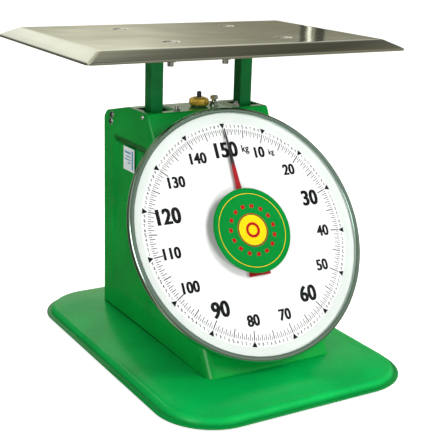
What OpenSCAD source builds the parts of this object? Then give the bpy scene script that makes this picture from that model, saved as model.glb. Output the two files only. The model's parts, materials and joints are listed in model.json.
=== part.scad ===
// Mechanical dial platform scale: a spring-borne carriage with two posts carries the platform,
// and a rack on the carriage turns the pointer of a leaning round dial.
// Frame: +X right, front faces -Y, +Z up. Origin on the standing surface, under the middle of the base.

/* [Base] */
// Width of the base tray, left to right
base_w = 326; // [316:1:340]
// Depth of the base tray, front to back
base_d = 448; // [440:1:470]
// Plan radius of the tray's corners
base_r = 70; // [68:1:74]
// Height of the raised seat that carries the body
base_h = 20; // [19:0.5:23]
// How far the rubber feet stand below the tray's flange
foot_drop = 3; // [2:0.5:4]

/* [Body] */
// Outer width of the body
body_w = 173; // [171:0.5:176]
// Height of the body's flat top above the standing surface
body_top = 301; // [298:0.5:306]
// Distance of the body's back from the middle of the base
body_back = 147; // [145:0.5:152]
// Distance of the front panel's lower edge from the middle of the base
body_front = 142; // [140:0.5:146]
// Lean of the front panel and the dial, from upright
lean = 30.5; // [29:0.5:32]
// Thickness of the pressed sheet steel
sheet = 1.5; // [1.2:0.1:1.8]

/* [Dial] */
// Radius of the bezel ring
bezel_r = 157.5; // [156:0.5:160]
// Width of the bezel ring's visible face
bezel_face = 7.5; // [7:0.25:8]
// Distance from the front panel to the bezel's front
dial_proud = 27.7; // [26:0.1:30]
// Distance of the dial's centre up the front panel
dial_up = 161.9; // [159:0.1:165]
// Radius of the printed dial plate
dial_r = 139; // [137:0.5:141]
// Radius that the pointer's tip reaches
pointer_r = 131; // [125:0.5:133]

/* [Platform] */
// Width of the platform, left to right
platform_w = 426; // [400:1:440]
// Depth of the platform, front to back
platform_d = 280; // [270:1:300]
// Height of the platform's top with nothing on it
platform_top = 392.4; // [388:0.1:400]
// How far the sloping rim runs in from the edge
rim_run = 20; // [16:1:24]
// Height of the sloping rim
rim_rise = 10.4; // [9:0.1:12]

/* [Carriage] */
// Distance of each post from the middle
post_x = 64; // [63:0.5:65]
// Distance of the posts behind the middle of the base
post_y = 50; // [48:0.5:52]
// Side of the square post tube
post_side = 16.5; // [16:0.5:18]

/* [Movement] */
// Module of the rack and pinion teeth
tooth_module = 0.6; // [0.58:0.01:0.62]
// Teeth on the pointer's pinion
pinion_teeth = 12; // [12:1:13]

/* [Hidden] */

$fn = 64;
eps = 0.01;

// colours
green = "#0a8f3c";
green_light = "#12a54c";
steel = "#9a9c9e";
dark_steel = "#4a4d50";
stainless = "#c9c8c0";
brass = "#c09a3a";
chrome = "#c4ccc6";
off_white = "#f4f4f2";
red = "#a81e22";

// base tray section, measured from the corner's centre outwards
tray_sheet = 2;
flange_run = 6;
flange_z = foot_drop;
shoulder_r = 8;
shoulder_x = base_r - flange_run - shoulder_r;
shoulder_z = flange_z + tray_sheet;
seat_edge = 2;
corner_x = base_w / 2 - base_r;
corner_y = base_d / 2 - base_r;
foot_in = 27;
foot_r = 11;

// body outline
half_w = body_w / 2;
front_slope = tan(lean);
function front_y(z) = -body_front + (z - base_h) * front_slope;
front_corner_r = 8;
top_break_y = 78;
top_fall = atan(13 / 58);
back_r = 12;
back_cy = body_back - back_r;
back_cz = body_top - (back_r + sin(top_fall) * (back_cy - top_break_y)) / cos(top_fall);
foot_flange = 24;

// dial frame: local Z points out of the dial, local Y points up it
dial_c = [0, -body_front + dial_up * sin(lean) - dial_proud * cos(lean),
  base_h + dial_up * cos(lean) + dial_proud * sin(lean)];
panel_z = -dial_proud;
panel_in = panel_z - sheet;
dial_z = -8;
bezel_mid = bezel_r - bezel_face / 2;
bezel_in = bezel_r - bezel_face;
lens_r = bezel_in + 3;
lens_edge_z = -1.5;
lens_t = 2;
dome_r = 146;
dome_rise = 4.5;
disc_r = 52;
panel_hole_r = 20;
pan_screw_x = 58;
pan_screw_y = 66;

// movement
pitch_r = tooth_module * pinion_teeth / 2;
tooth_pitch = PI * tooth_module;
rack_travel = 2 * PI * pitch_r;
travel = rack_travel * cos(lean);
backlash = 0.16;
rack_tip = 0.45;
tooth_root = 0.75;
gear_mid_z = -45.5;
shaft_r = 2;
run_gap = 0.04;

// main frame
frame_front = 25.5;
frame_side_front = 28;
frame_rear = 138;
frame_shelf_rear = 76;
frame_side_top = 266;
frame_shelf_t = 6;
frame_foot_t = 4;
lug_y = 36;
lug_half = 5;

// movement plates, in the dial's frame
front_plate_z = -38;
rear_plate_z = -56;
plate_t = 3;
plate_half_w = 26;
plate_half_l = 32;
bush_r = 5;
bush_len = 4;
small_screw_r = 1.5;

// carriage and linkage
post_top = 366;
post_foot = 90;
post_wall = 2;
link_len = 72;
pivot_y = post_y + link_len;
upper_z = 250;
lower_z = 110;
link_tilt = travel / 2 / link_len * 180 / PI;
pin_r = 5;
carriage_pin_r = 4;
arm_in = 73.8;
arm_out = 76.6;
plate_in = 77.4;
plate_out = 81.4;
slot_half = 15;
rail_x = 78;
rail_w = 36;
rail_half_l = 83;
rail_z = 376;
rail_wall = 3;
screw_x = 78;
screw_y = 68;
platform_sheet = 1.5;
bolt_x = 39.5;
bolt_y = post_y + 4;
bolt_r = 4;

// springs and zero adjuster
spring_x = 28;
spring_r = 11;
wire_r = 2;
loop_r = 7;
eye_r = 5;
eye_low = 118;
eye_high = 254;
bar_low = 94;
bar_high = 110;
hanger_low = 262;
hanger_high = 272;
stem_r = 3;
stem_top = 319;
nut_r = 12.2;
nut_low = 302.5;
nut_high = 311.5;

// drive from the carriage to the rack
rack_foot_y = -56;
foot_cy = dial_c[1] - gear_mid_z * cos(lean) + rack_foot_y * sin(lean);
foot_cz = dial_c[2] + gear_mid_z * sin(lean) + rack_foot_y * cos(lean);
drive_pin_y = foot_cy - travel * front_slope / 2;
drive_pin_r = 2;
strip_x = 11;
arm_x = 13;
arm_t = 4;
arm_tip_y = -40;
arm_half_h = 6;
arm_bolt_x = 24;
arm_bolt_r = 2.5;
strip_rivets = [-36, -24];

// ---------- helpers ----------

// four mirrored copies about the X and Y planes
module quad() {
  for (sx = [0, 1], sy = [0, 1]) mirror([sx, 0, 0]) mirror([0, sy, 0]) children();
}

module pair() {
  for (sx = [0, 1]) mirror([sx, 0, 0]) children();
}

module in_dial() {
  translate(dial_c) rotate([90 - lean, 0, 0]) children();
}

// a box from its low corner to its high corner
module box(low, high) {
  translate(low) cube(high - low);
}

// a round bar between two heights
module post_at(x, y, z0, z1, r) {
  translate([x, y, z0]) cylinder(h = z1 - z0, r = r);
}

// a round bar along X
module bar_x(x0, x1, y, z, r) {
  translate([x0, y, z]) rotate([0, 90, 0]) cylinder(h = x1 - x0, r = r);
}

// a side profile in (Y, Z), extruded along X
module side_profile(x0, x1) {
  translate([x0, 0, 0]) rotate([90, 0, 90]) linear_extrude(x1 - x0) children();
}

// a hexagon head or nut, flats across
module hexagon(flats, h) {
  cylinder(h = h, r = flats / 2 / cos(30), $fn = 6);
}

// ---------- base ----------

module tray_section(lift) {
  polygon([[0, base_h + lift], [seat_edge, base_h + lift], [shoulder_x, shoulder_z + shoulder_r + lift],
    [shoulder_x, shoulder_z + shoulder_r - tray_sheet], [seat_edge, base_h - tray_sheet],
    [0, base_h - tray_sheet]]);
  if (lift == 0) {
    translate([shoulder_x, shoulder_z]) intersection() {
      difference() {
        circle(shoulder_r);
        circle(shoulder_r - tray_sheet);
      }
      square(shoulder_r + 1);
    }
    translate([base_r - flange_run - tray_sheet, flange_z]) square([flange_run + tray_sheet, tray_sheet]);
  }
}

module base_tray() {
  color(green_light) difference() {
    union() {
      box([-corner_x, -corner_y, base_h - tray_sheet], [corner_x, corner_y, base_h]);
      quad() translate([corner_x, corner_y, 0]) rotate_extrude(angle = 90) tray_section(0);
      for (side = [0, 1]) {
        mirror([0, side, 0]) translate([-corner_x, corner_y, 0])
          rotate([90, 0, 90]) linear_extrude(2 * corner_x) tray_section(0);
        mirror([side, 0, 0]) translate([corner_x, corner_y, 0])
          rotate([90, 0, 0]) linear_extrude(2 * corner_y) tray_section(0);
      }
    }
    frame_bolt_places() cylinder(h = 2 * base_h, r = 4);
  }
}

module rubber_feet() {
  color("#202020") quad() difference() {
    translate([corner_x + foot_in, corner_y + foot_in, 0]) union() {
      cylinder(h = 2, r1 = foot_r - 1, r2 = foot_r);
      translate([0, 0, 2]) cylinder(h = base_h - 2, r = foot_r);
    }
    translate([corner_x, corner_y, 0]) rotate_extrude() tray_section(base_h);
  }
}

module frame_bolt_places() {
  for (x = [-66, 66], y = [-60, 120]) translate([x, y, 0]) children();
}

module frame_bolts() {
  color(steel) frame_bolt_places() {
    translate([0, 0, base_h - tray_sheet - 5]) hexagon(13, 5);
    translate([0, 0, base_h - tray_sheet]) cylinder(h = 16, r = 4);
    translate([0, 0, base_h + sheet + 4]) difference() {
      hexagon(13, 6);
      translate([0, 0, -eps]) cylinder(h = 7, r = 4);
    }
  }
}

// ---------- body ----------

// side outline of the body, drawn in by a distance on every closed side
module body_outline(inset, open_by) {
  tip_y = back_cy + (back_r - inset) * sin(top_fall);
  tip_z = back_cz + (back_r - inset) * cos(top_fall);
  low_z = base_h - open_by;
  top_z = body_top - inset;
  skew = inset / cos(lean);
  polygon([[front_y(low_z) + skew, low_z], [front_y(top_z) + skew, top_z],
    [tip_y - (top_z - tip_z) / tan(top_fall), top_z], [tip_y, tip_z], [back_cy, back_cz],
    [body_back - inset, back_cz], [body_back - inset, low_z]]);
  translate([back_cy, back_cz]) circle(back_r - inset);
}

// the body as a solid: the side outline, with the front's two long edges rounded
module body_solid(inset, open_by) {
  w = half_w - inset;
  r = front_corner_r - inset;
  intersection() {
    union() {
      side_profile(-w, w) body_outline(inset, open_by);
      if (open_by > 0) box([-w, back_cy, base_h - open_by], [w, body_back + open_by, back_cz]);
    }
    in_dial() rotate([90, 0, 0]) translate([0, 0, -400]) linear_extrude(800) {
      translate([-w, panel_z - inset - 600]) square([2 * w, 600 - r]);
      translate([-w + r, panel_z - inset - r - eps]) square([2 * (w - r), r + eps]);
      for (sx = [-1, 1]) translate([sx * (w - r), panel_z - inset - r]) circle(r);
    }
  }
}

// the pressed recess of the side panel, in (Y, Z), grown by a margin
module swage_outline(grow) {
  low = 62 - grow;
  high = 256 + grow;
  back = 114 + grow;
  gap = 34;
  polygon([[back, low], [back, high - 5], [back - 5, high], [front_y(high) + gap - grow + 5, high],
    [front_y(high - 5) + gap - grow, high - 5], [front_y(low) + gap - grow, low]]);
}

swage_deep = 2;

module post_slots() {
  pair() translate([post_x, post_y, body_top]) box([-slot_half, -slot_half, -30], [slot_half, slot_half, 10]);
}

module rear_screw_places() {
  pair() for (p = [[122.5, 283.5], [125, 274.5]])
    translate([half_w, p[0], p[1]]) rotate([0, 90, 0]) children();
}

module rivet_places() {
  pair() translate([half_w, lug_y, body_top - 6]) rotate([0, 90, 0]) children();
}

module top_bolt_places() {
  for (x = [-42.5, 42.5]) translate([x, 30, body_top]) children();
}

module lock_bolt_place() {
  translate([22, post_y, body_top]) children();
}

module body_shell() {
  color(green) difference() {
    union() {
      difference() {
        body_solid(0, 0);
        body_solid(sheet, 40);
        for (sx = [0, 1]) mirror([sx, 0, 0])
          side_profile(half_w - swage_deep, half_w + 1) swage_outline(0);
      }
      pair() difference() {
        side_profile(half_w - swage_deep - sheet, half_w - sheet) swage_outline(sheet);
        side_profile(half_w - swage_deep, half_w) swage_outline(0);
      }
      pair() box([half_w - foot_flange, -80, base_h], [half_w - sheet / 2, 140, base_h + sheet]);
    }
    post_slots();
    frame_bolt_places() cylinder(h = 3 * base_h, r = 4);
    translate([0, post_y, body_top - 10]) cylinder(h = 20, r = 4);
    top_bolt_places() translate([0, 0, -10]) cylinder(h = 20, r = 2.5);
    lock_bolt_place() translate([0, 0, -10]) cylinder(h = 20, r = 3);
    rear_screw_places() translate([0, 0, -10]) cylinder(h = 20, r = 2);
    rivet_places() translate([0, 0, -10]) cylinder(h = 20, r = 1.8);
    in_dial() {
      translate([0, 0, panel_z - 10]) cylinder(h = 20, r = panel_hole_r);
      pan_screw_places() translate([0, 0, -10]) cylinder(h = 20, r = 2.5);
      movement_pillar_places() translate([0, 0, panel_z - 10]) cylinder(h = 20, r = small_screw_r);
    }
  }
}

module rear_cover() {
  edge = half_w - sheet - 0.1;
  color(green) difference() {
    union() {
      box([-edge, body_back - sheet, base_h + sheet], [edge, body_back, back_cz - 0.5]);
      pair() side_profile(edge - sheet, edge)
        polygon([[118, 32], [body_back - eps, 32], [body_back - eps, 268], [138, 282], [118, 286]]);
    }
    rear_screw_places() translate([0, 0, -10]) cylinder(h = 20, r = 2);
  }
}

module rear_cover_screws() {
  color(dark_steel) rear_screw_places() {
    cylinder(h = 1, r = 4);
    translate([0, 0, 1]) cylinder(h = 1.6, r1 = 4, r2 = 2.8);
    translate([0, 0, -4]) cylinder(h = 4, r = 2);
  }
}

module side_rivets() {
  color(steel) rivet_places() {
    cylinder(h = 1.2, r1 = 2.8, r2 = 1.8);
    translate([0, 0, -4]) cylinder(h = 4, r = 1.8);
  }
}

module side_label() {
  color(off_white) box([-half_w + swage_deep - 0.3, 61, 219], [-half_w + swage_deep, 92, 249]);
}

module main_frame() {
  plate_top = body_top - sheet;
  shelf_z = plate_top - frame_shelf_t;
  foot_z = base_h + sheet;
  color(dark_steel) difference() {
    union() {
      box([-plate_out, -70, foot_z], [plate_out, frame_rear, foot_z + frame_foot_t]);
      pair() side_profile(plate_in, plate_out)
        polygon([[frame_side_front, foot_z], [frame_rear, foot_z], [frame_rear, frame_side_top],
          [frame_shelf_rear, shelf_z], [frame_shelf_rear, plate_top], [frame_side_front, plate_top]]);
      box([-plate_out, frame_front, shelf_z], [plate_out, frame_shelf_rear, plate_top]);
      pair() box([plate_out - eps, lug_y - lug_half, body_top - 10],
        [half_w - sheet, lug_y + lug_half, plate_top]);
    }
    post_slots();
    frame_bolt_places() cylinder(h = 3 * base_h, r = 4);
    translate([0, post_y, body_top - 20]) cylinder(h = 30, r = stem_r + 0.6);
    top_bolt_places() translate([0, 0, -20]) cylinder(h = 30, r = 2.5);
    lock_bolt_place() translate([0, 0, -20]) cylinder(h = 30, r = 3);
    rivet_places() translate([0, 0, -10]) cylinder(h = 20, r = 1.8);
    for (z = [upper_z, lower_z]) bar_x(-100, 100, pivot_y, z, pin_r);
    pair() {
      box([plate_in - 1, 46, 150], [plate_out + 1, 106, 222]);
      box([plate_in - 1, 46, 44], [plate_out + 1, 106, 92]);
    }
  }
}

module pivot_pin(z) {
  color(steel) {
    bar_x(-plate_out - 1, plate_out + 1, pivot_y, z, pin_r);
    pair() bar_x(plate_out, plate_out + 1.2, pivot_y, z, pin_r + 0.8);
  }
}

module upper_pivot_pin() {
  pivot_pin(upper_z);
}

module lower_pivot_pin() {
  pivot_pin(lower_z);
}

module top_bolts() {
  color(steel) top_bolt_places() {
    translate([0, 0, -9]) cylinder(h = 16, r = 2.5);
    difference() {
      hexagon(8, 4);
      translate([0, 0, -eps]) cylinder(h = 5, r = 2.5);
    }
  }
}

module lock_bolt() {
  color(chrome) lock_bolt_place() {
    translate([0, 0, -8]) cylinder(h = 16, r = 3);
    cylinder(h = 1.2, r = 6);
    translate([0, 0, 1.2]) difference() {
      hexagon(10, 4);
      translate([0, 0, -1]) cylinder(h = 6, r = 3);
    }
    translate([0, 0, 8]) hexagon(10, 4);
    translate([0, 0, 12]) cylinder(h = 1, r1 = 4.6, r2 = 3);
  }
}

module nut_washer() {
  color(dark_steel) translate([0, post_y, body_top]) difference() {
    cylinder(h = nut_low - body_top, r = 10);
    translate([0, 0, -1]) cylinder(h = 5, r = stem_r + 0.6);
  }
}

// ---------- dial ----------

module pan_screw_places() {
  for (x = [-pan_screw_x, pan_screw_x], y = [-pan_screw_y, pan_screw_y])
    translate([x, y, panel_z]) children();
}

module pillar_places() {
  for (a = [45:90:315]) rotate(a) translate([100, 0, 0]) children();
}

module dial_pan() {
  floor_z = panel_z + sheet;
  pan_rim_z = -4;
  color(green) in_dial() difference() {
    rotate_extrude($fn = 128) polygon([[panel_hole_r, panel_z], [137.5, panel_z], [149, pan_rim_z - sheet],
      [bezel_r - 1.5, pan_rim_z - sheet], [bezel_r - 1.5, pan_rim_z], [147.5, pan_rim_z], [136.2, floor_z],
      [panel_hole_r, floor_z]]);
    pan_screw_places() translate([0, 0, -10]) cylinder(h = 20, r = 2.5);
    movement_pillar_places() translate([0, 0, panel_z - 10]) cylinder(h = 20, r = small_screw_r);
  }
}

module dial_pan_screws() {
  color(steel) in_dial() pan_screw_places() {
    translate([0, 0, sheet]) cylinder(h = 2, r = 4.5);
    translate([0, 0, -sheet - 5]) cylinder(h = 2 * sheet + 5, r = 2.5);
    translate([0, 0, -sheet - 3.5]) difference() {
      hexagon(8, 3.5);
      translate([0, 0, -1]) cylinder(h = 6, r = 2.5);
    }
  }
}

module dial_pillars() {
  color(steel) in_dial() pillar_places() translate([0, 0, panel_z + sheet])
    cylinder(h = dial_z - 1 - panel_z - sheet, r = 4);
}

module dial_plate() {
  color(off_white) in_dial() translate([0, 0, dial_z - 1]) difference() {
    cylinder(h = 1, r = dial_r, $fn = 128);
    translate([0, 0, -1]) cylinder(h = 3, r = 9);
  }
}

module dial_surround() {
  color(off_white) in_dial() rotate_extrude($fn = 128)
    polygon([[dial_r + 0.2, dial_z - 1], [dial_r + 0.2, dial_z], [147.2, lens_edge_z - lens_t],
      [lens_r, lens_edge_z - lens_t], [lens_r, lens_edge_z - lens_t - 0.5],
      [147.5, lens_edge_z - lens_t - 0.5],
      [146.6, lens_edge_z - lens_t - 0.9], [dial_r + 1, dial_z - 1]]);
}

// height of the lens's outer face at a radius
function dome_z(r) = lens_edge_z + dome_rise * (1 - pow(r / dome_r, 2));

dome_steps = 12;
dome_out = [for (i = [0:dome_steps]) [dome_r * i / dome_steps, dome_z(dome_r * i / dome_steps)]];
dome_in = [for (i = [dome_steps:-1:0]) [dome_r * i / dome_steps, dome_z(dome_r * i / dome_steps) - lens_t]];

module lens() {
  color("#e8f2f4", 0.3) in_dial() rotate_extrude($fn = 128)
    polygon(concat(dome_out, [[lens_r, lens_edge_z], [lens_r, lens_edge_z - lens_t]], dome_in));
}

module bezel_ring() {
  color(chrome) in_dial() rotate_extrude($fn = 128) difference() {
    union() {
      translate([bezel_mid, -bezel_face / 2]) circle(bezel_face / 2);
      translate([bezel_r - 1.4, -8]) square([1.4, 8 - bezel_face / 2]);
    }
    translate([bezel_in - 1, -9]) square([lens_r + 0.1 - bezel_in + 1, 9 + lens_edge_z]);
    translate([bezel_in - 1, -9]) square([bezel_face - 0.4, 9 + lens_edge_z - lens_t]);
  }
}

// thin printed disc on the lens, bent to the lens's crown
module centre_disc() {
  steps = 4;
  face = [for (i = [0:steps]) [dome_r * i / dome_steps, dome_z(dome_r * i / dome_steps)]];
  rim = disc_r;
  slope_z = dome_z(dome_r * 4 / dome_steps) + (rim - dome_r * 4 / dome_steps)
    * (dome_z(dome_r * 5 / dome_steps) - dome_z(dome_r * 4 / dome_steps)) / (dome_r / dome_steps);
  low = concat(face, [[rim, slope_z]]);
  high = [for (i = [len(low) - 1:-1:0]) low[i] + [0, 0.6]];
  color(green) in_dial() rotate_extrude($fn = 128) polygon(concat(low, high));
}

// ---------- movement ----------

module movement_pillar_places() {
  for (x = [-20, 20], y = [-26, 26]) translate([x, y, 0]) children();
}

module movement_frame() {
  color(steel) in_dial() difference() {
    union() {
      for (z = [front_plate_z, rear_plate_z])
        box([-plate_half_w, -plate_half_l, z], [plate_half_w, plate_half_l, z + plate_t]);
      movement_pillar_places() translate([0, 0, rear_plate_z]) cylinder(h = panel_in - rear_plate_z, r = 3.5);
    }
    translate([0, 0, rear_plate_z - 4]) cylinder(h = 40, r = bush_r);
    movement_pillar_places() translate([0, 0, panel_in - 8]) cylinder(h = 20, r = small_screw_r);
  }
}

module movement_screws() {
  color(steel) in_dial() movement_pillar_places() {
    translate([0, 0, panel_in - 8]) cylinder(h = 8 + 3 * sheet, r = small_screw_r);
    translate([0, 0, panel_in + 2 * sheet]) cylinder(h = 1.8, r = 3);
  }
}

module shaft_bushes() {
  color(brass) in_dial() for (z = [front_plate_z, rear_plate_z]) translate([0, 0, z - 0.5]) difference() {
    cylinder(h = bush_len, r = bush_r);
    translate([0, 0, -1]) cylinder(h = bush_len + 2, r = shaft_r + run_gap);
  }
}

module rack_guide() {
  color(off_white) in_dial() box([9.8, -9, -53], [14, 9, -38]);
}

// involute flank point at a roll angle, turned by a start angle
function involute(rb, roll, turn) = rb * [cos(roll + turn) + roll * PI / 180 * sin(roll + turn),
  sin(roll + turn) - roll * PI / 180 * cos(roll + turn)];

module pinion() {
  rb = pitch_r * cos(20);
  tip_r = pitch_r + tooth_module * 0.9;
  root_r = pitch_r - tooth_root;
  flank = 4;
  roll_tip = sqrt(pow(tip_r / rb, 2) - 1) * 180 / PI;
  half_tooth = (tooth_pitch - backlash) / 4 / pitch_r * 180 / PI;
  start = -half_tooth - (tan(20) * 180 / PI - 20);
  right = [for (i = [0:flank]) involute(rb, roll_tip * i / flank, start)];
  tooth = concat([root_r * [cos(start), sin(start)]], right,
    [for (i = [flank:-1:0]) [right[i][0], -right[i][1]]], [root_r * [cos(start), -sin(start)]]);
  color(brass) in_dial() translate([0, 0, gear_mid_z - 4.5]) difference() {
    linear_extrude(9) polygon([for (k = [0:pinion_teeth - 1], q = tooth)
      let (a = k * 360 / pinion_teeth) [q[0] * cos(a) - q[1] * sin(a), q[0] * sin(a) + q[1] * cos(a)]]);
    translate([0, 0, -1]) cylinder(h = 11, r = shaft_r);
  }
}

module rack() {
  half = (tooth_pitch - backlash) / 4;
  grow = tan(20);
  root_x = pitch_r + tooth_root;
  tip_x = pitch_r - rack_tip;
  color(brass) difference() {
    union() {
      in_dial() {
        box([root_x, rack_foot_y + 2, gear_mid_z - 3], [9.5, 42, gear_mid_z + 3]);
        translate([0, 0, gear_mid_z - 3]) linear_extrude(6) for (k = [-4:15])
          translate([0, (k + 0.5) * tooth_pitch])
            polygon([[root_x + 0.1, -half - tooth_root * grow], [tip_x, -half + rack_tip * grow],
              [tip_x, half - rack_tip * grow], [root_x + 0.1, half + tooth_root * grow]]);
      }
      translate([root_x, foot_cy - 14, foot_cz - 7]) cube([4.6, 28, 14]);
    }
    for (y = [-6.2, 6.2]) bar_x(0, 20, foot_cy + y, foot_cz, drive_pin_r + 0.3);
    translate([0, foot_cy - 6.2, foot_cz - drive_pin_r - 0.3]) cube([20, 12.4, 2 * drive_pin_r + 0.6]);
  }
}

module pointer_shaft() {
  color(steel) in_dial() translate([0, 0, -58]) cylinder(h = 55.6, r = shaft_r);
}

module pointer_hub() {
  color(brass) in_dial() difference() {
    union() {
      translate([0, 0, -7.4]) cylinder(h = 2.4, r = 6);
      translate([0, 0, -5]) cylinder(h = 1.2, r = 3);
      translate([0, 0, -3.8]) cylinder(h = 1, r = 5);
    }
    translate([0, 0, -9]) cylinder(h = 10, r = shaft_r);
  }
}

module pointer() {
  color(red) in_dial() translate([0, 0, -5]) difference() {
    union() {
      cylinder(h = 1.2, r = 14);
      translate([0, 0, 0.1]) linear_extrude(1)
        polygon([[-7, 0], [-3.6, 50], [-0.5, pointer_r], [0.5, pointer_r], [3.6, 50], [7, 0],
          [6, -36], [13, -38],
          [15, -54], [-15, -54], [-13, -38], [-6, -36]]);
    }
    translate([0, 0, -1]) cylinder(h = 4, r = 3);
  }
}

// ---------- carriage ----------

// a frustum from two crossed prisms, so its sloping faces stay flat and its corners are mitred
module frustum(w, d, run, z0, z1, z2) {
  translate([0, post_y, 0]) intersection() {
    translate([0, d / 2, 0]) rotate([90, 0, 0]) linear_extrude(d)
      polygon([[-w / 2, z0], [-w / 2, z1], [-w / 2 + run, z2], [w / 2 - run, z2], [w / 2, z1], [w / 2, z0]]);
    side_profile(-w / 2, w / 2)
      polygon([[-d / 2, z0], [-d / 2, z1], [-d / 2 + run, z2], [d / 2 - run, z2], [d / 2, z1], [d / 2, z0]]);
  }
}

module platform_screw_places() {
  for (x = [-screw_x, screw_x], y = [-screw_y, screw_y]) translate([x, post_y + y, 0]) children();
}

module platform() {
  t = platform_sheet;
  rim_low = platform_top - rim_rise;
  color(stainless) difference() {
    union() {
      difference() {
        frustum(platform_w, platform_d, rim_run, rim_low - 2, rim_low, platform_top);
        frustum(platform_w - 2 * t, platform_d - 2 * t, rim_run, rim_low - 3, rim_low - t, platform_top - t);
      }
      platform_screw_places() translate([0, 0, platform_top - 4.5]) cylinder(h = 4, r1 = 5.6, r2 = 9.6);
    }
    platform_screw_places() {
      translate([0, 0, platform_top - 3]) cylinder(h = 3 + eps, r1 = 4.1, r2 = 8.1);
      translate([0, 0, platform_top - 10]) cylinder(h = 12, r = 3.2);
    }
  }
}

module platform_screws() {
  color(steel) platform_screw_places() {
    translate([0, 0, platform_top - 3]) cylinder(h = 2.2, r1 = 4, r2 = 5.8);
    translate([0, 0, platform_top - 16]) cylinder(h = 13 + eps, r = 3);
    translate([0, 0, platform_top - 6]) difference() {
      cylinder(h = 1.5, r = 12);
      translate([0, 0, -1]) cylinder(h = 4, r = 3);
    }
    translate([0, 0, platform_top - 11]) difference() {
      hexagon(10, 5);
      translate([0, 0, -1]) cylinder(h = 7, r = 3);
    }
  }
}

module spider_frame() {
  top_z = platform_top - platform_sheet;
  low_y = post_y - rail_half_l;
  high_y = post_y + rail_half_l;
  color(dark_steel) difference() {
    union() {
      pair() difference() {
        box([rail_x - rail_w / 2, low_y, rail_z], [rail_x + rail_w / 2, high_y, top_z]);
        box([rail_x - rail_w / 2 + rail_wall, low_y - 1, rail_z - 1],
          [rail_x + rail_w / 2 - rail_wall, high_y + 1, top_z - rail_wall]);
      }
      box([-rail_x + rail_w / 2 - 1, post_y - 14, rail_z + 0.5],
        [rail_x - rail_w / 2 + 1, post_y + 14, rail_z + 4]);
    }
    platform_screw_places() translate([0, 0, rail_z]) cylinder(h = 30, r = 10);
    crossbar_bolt_places() translate([0, 0, -10]) cylinder(h = 40, r = bolt_r + 0.2);
  }
}

module crossbar_bolt_places() {
  for (x = [-bolt_x, bolt_x]) translate([x, bolt_y, post_top]) children();
}

module crossbar() {
  color(green) difference() {
    box([-post_x - 9, post_y - 12, post_top], [post_x + 9, post_y + 12, rail_z]);
    box([-post_x - 10, post_y - 9, post_top + 3], [post_x + 10, post_y + 9, rail_z - 3]);
    crossbar_bolt_places() translate([0, 0, -1]) cylinder(h = 20, r = bolt_r + 0.2);
  }
}

module crossbar_bolts() {
  color(dark_steel) crossbar_bolt_places() {
    translate([0, 0, 14]) hexagon(13, 4);
    translate([0, 0, -13.5]) cylinder(h = 27.5, r = bolt_r);
    translate([0, 0, -1.6]) difference() {
      cylinder(h = 1.6, r = 7.7);
      translate([0, 0, -1]) cylinder(h = 4, r = bolt_r);
    }
    translate([0, 0, -8.1]) difference() {
      hexagon(13, 6.5);
      translate([0, 0, -1]) cylinder(h = 9, r = bolt_r);
    }
  }
}

module post(x) {
  h = post_side / 2;
  color(green) difference() {
    translate([x, post_y, 0]) difference() {
      box([-h, -h, post_foot], [h, h, post_top]);
      box([post_wall - h, post_wall - h, post_foot - 1], [h - post_wall, h - post_wall, post_top + 1]);
    }
    for (z = [upper_z, lower_z]) bar_x(x - 20, x + 20, post_y, z + travel / 2, carriage_pin_r);
  }
}

module left_post() {
  post(-post_x);
}

module right_post() {
  post(post_x);
}

module carriage_pins() {
  color(steel) pair() for (z = [upper_z, lower_z])
    bar_x(post_x - post_side / 2 - 1, arm_out + 0.3, post_y, z + travel / 2, carriage_pin_r);
}

// an ear with an eye for a spring's end loop
module spring_eye(z_eye, z_bar) {
  low = min(z_eye - 8, z_bar);
  high = max(z_eye + 8, z_bar);
  pair() difference() {
    box([spring_x - 8, post_y - 2.5, low], [spring_x + 8, post_y + 2.5, high]);
    translate([spring_x, post_y - 5, z_eye]) rotate([-90, 0, 0]) cylinder(h = 10, r = eye_r);
  }
}

module lower_crossbar() {
  inner = post_x - post_side / 2;
  color(dark_steel) difference() {
    union() {
      box([-inner, post_y - 9, bar_low], [inner, post_y + 9, bar_high]);
      spring_eye(eye_low, bar_high);
    }
    translate([arm_bolt_x, post_y - 20, foot_cz]) rotate([-90, 0, 0]) cylinder(h = 40, r = arm_bolt_r);
  }
}

module drive_arm() {
  face = post_y - 9;
  color(steel) difference() {
    union() {
      box([arm_x, arm_tip_y, foot_cz - arm_half_h], [arm_x + arm_t, face, foot_cz + arm_half_h]);
      box([arm_x, face - arm_t, foot_cz - arm_half_h], [arm_x + 18, face, foot_cz + arm_half_h]);
      translate([arm_bolt_x, face - arm_t, foot_cz]) rotate([-90, 0, 0]) {
        translate([0, 0, -3.5]) cylinder(h = 4, r = 4.5);
        cylinder(h = 22, r = arm_bolt_r);
      }
    }
    for (y = strip_rivets) bar_x(arm_x - 3, arm_x + 7, y, foot_cz, small_screw_r);
  }
}

module bimetal_strip() {
  color(brass) {
    difference() {
      box([strip_x, drive_pin_y - 7, foot_cz - 5], [arm_x, -18, foot_cz + 5]);
      bar_x(strip_x - 1, arm_x + 1, drive_pin_y, foot_cz, drive_pin_r);
    }
    for (y = strip_rivets) {
      bar_x(arm_x - 0.5, arm_x + arm_t, y, foot_cz, small_screw_r);
      bar_x(strip_x - 1.2, strip_x, y, foot_cz, 2.8);
    }
  }
}

module drive_pin() {
  color(steel) {
    bar_x(pitch_r, arm_x, drive_pin_y, foot_cz, drive_pin_r);
    bar_x(strip_x - 1, strip_x, drive_pin_y, foot_cz, drive_pin_r + 1.5);
  }
}

// ---------- parallel links ----------

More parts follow.
